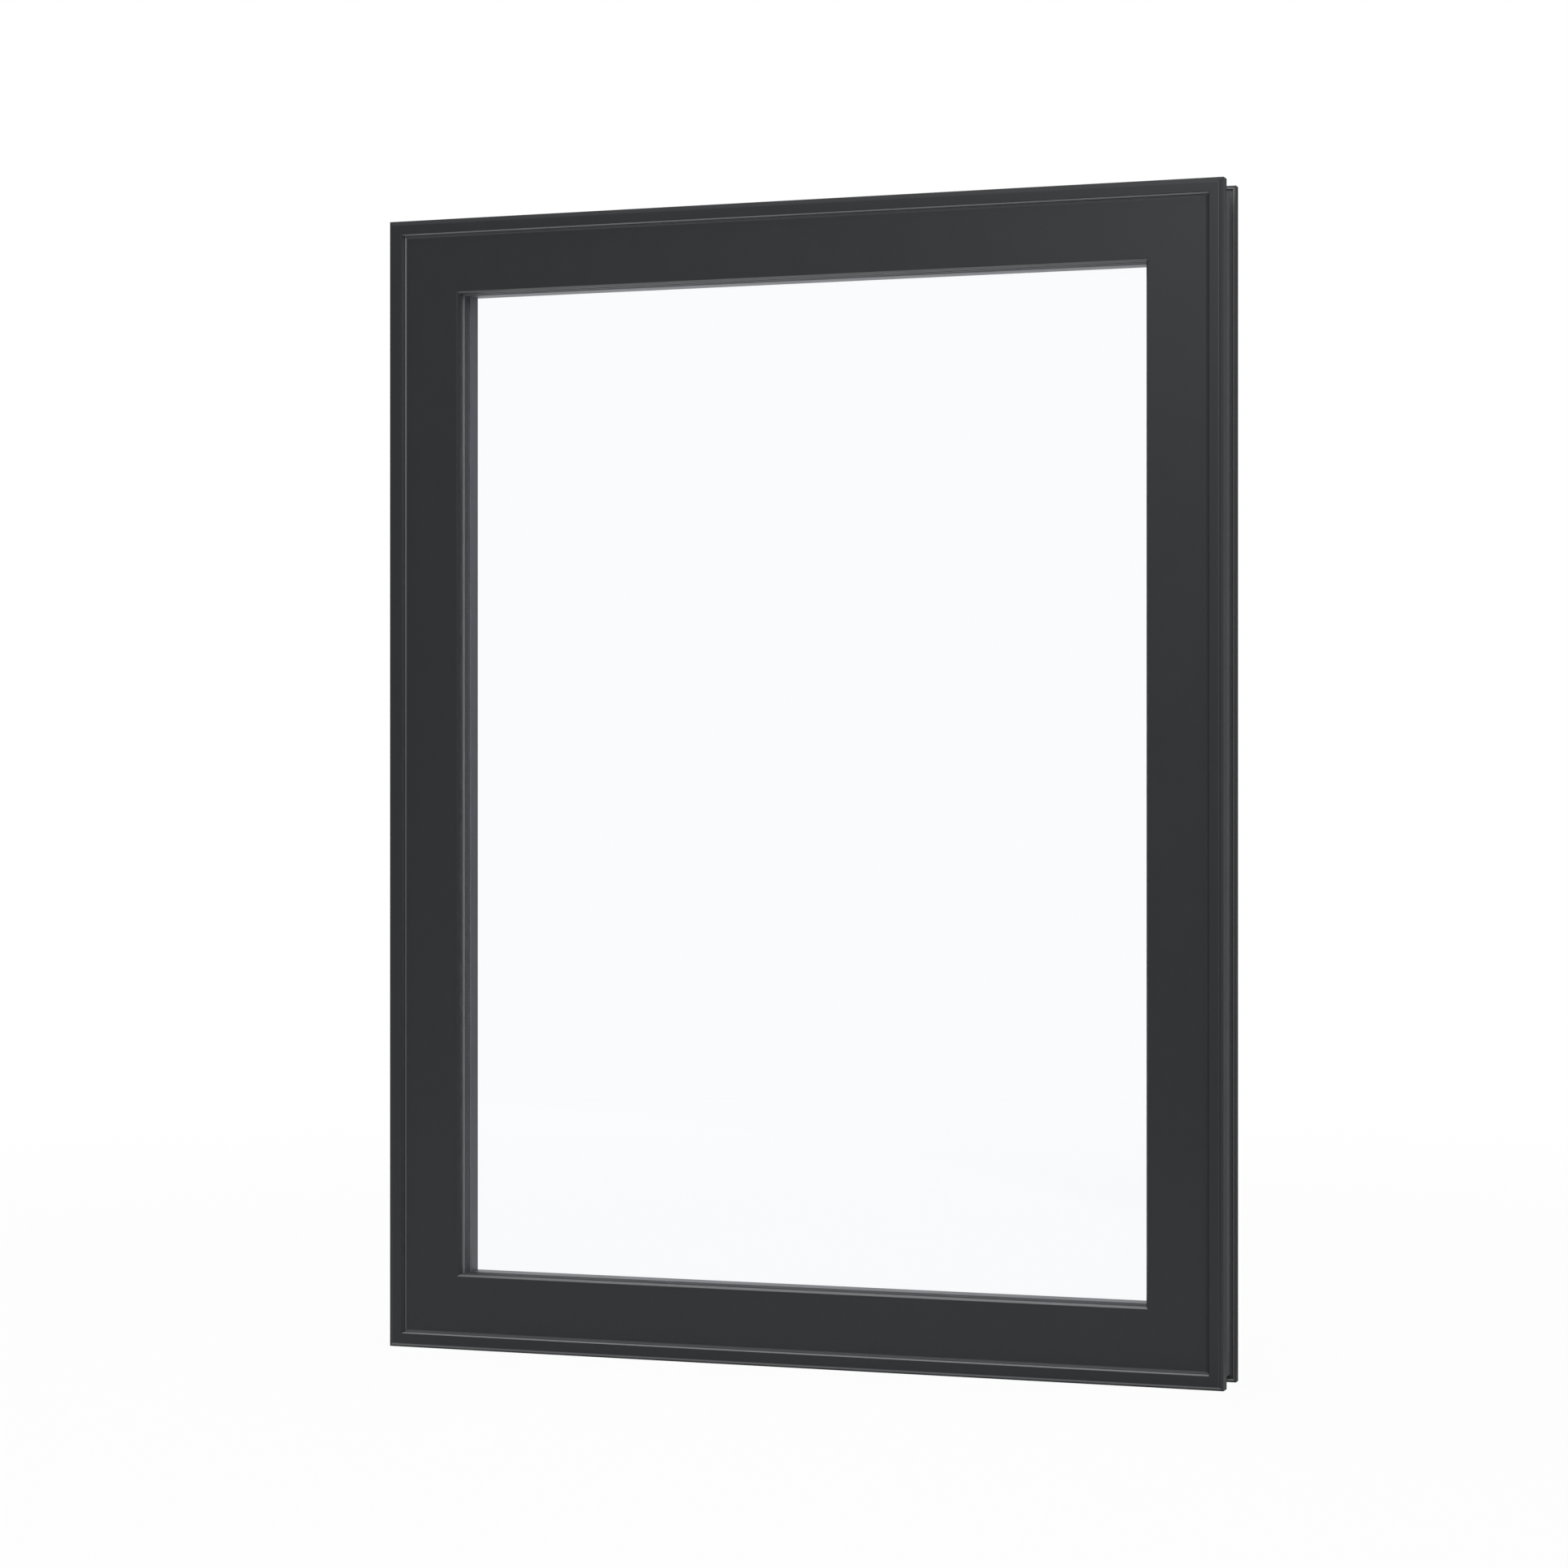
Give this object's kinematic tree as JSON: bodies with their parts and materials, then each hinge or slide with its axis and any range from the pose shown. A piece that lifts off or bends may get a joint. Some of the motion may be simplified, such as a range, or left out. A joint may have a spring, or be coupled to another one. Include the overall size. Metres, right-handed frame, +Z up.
{
  "type": "fixed picture window",
  "caption": "Upright fixed picture window with a dark grey mitred frame and sash, double glazing and a clip channel round its edge.",
  "frame": {"origin": "middle of the underside of the sill, at half the frame's depth", "axes": "+X along the sill to the right as seen from outside, +Y from the weather face to the room, +Z up"},
  "size_m": [0.905, 0.07, 1.2],
  "materials": {
    "frame_coat": "matt dark grey powder coat",
    "glass": "clear float glass",
    "spacer": "dark grey warm edge spacer",
    "seal": "matt black rubber"
  },
  "bodies": {
    "root": {"frame_sill": "frame_coat", "frame_head": "frame_coat", "frame_left_jamb": "frame_coat", "frame_right_jamb": "frame_coat", "sash_bottom_rail": "frame_coat", "sash_top_rail": "frame_coat", "sash_left_stile": "frame_coat", "sash_right_stile": "frame_coat", "bead_bottom": "frame_coat", "bead_top": "frame_coat", "bead_left": "frame_coat", "bead_right": "frame_coat", "outer_pane": "glass", "inner_pane": "glass", "spacer_bottom": "spacer", "spacer_top": "spacer", "spacer_left": "spacer", "spacer_right": "spacer", "outer_gasket_bottom": "seal", "outer_gasket_top": "seal", "outer_gasket_left": "seal", "outer_gasket_right": "seal", "inner_gasket_bottom": "seal", "inner_gasket_top": "seal", "inner_gasket_left": "seal", "inner_gasket_right": "seal", "rear_seal_bottom": "seal", "rear_seal_top": "seal", "rear_seal_left": "seal", "rear_seal_right": "seal"}
  },
  "joints": []
}
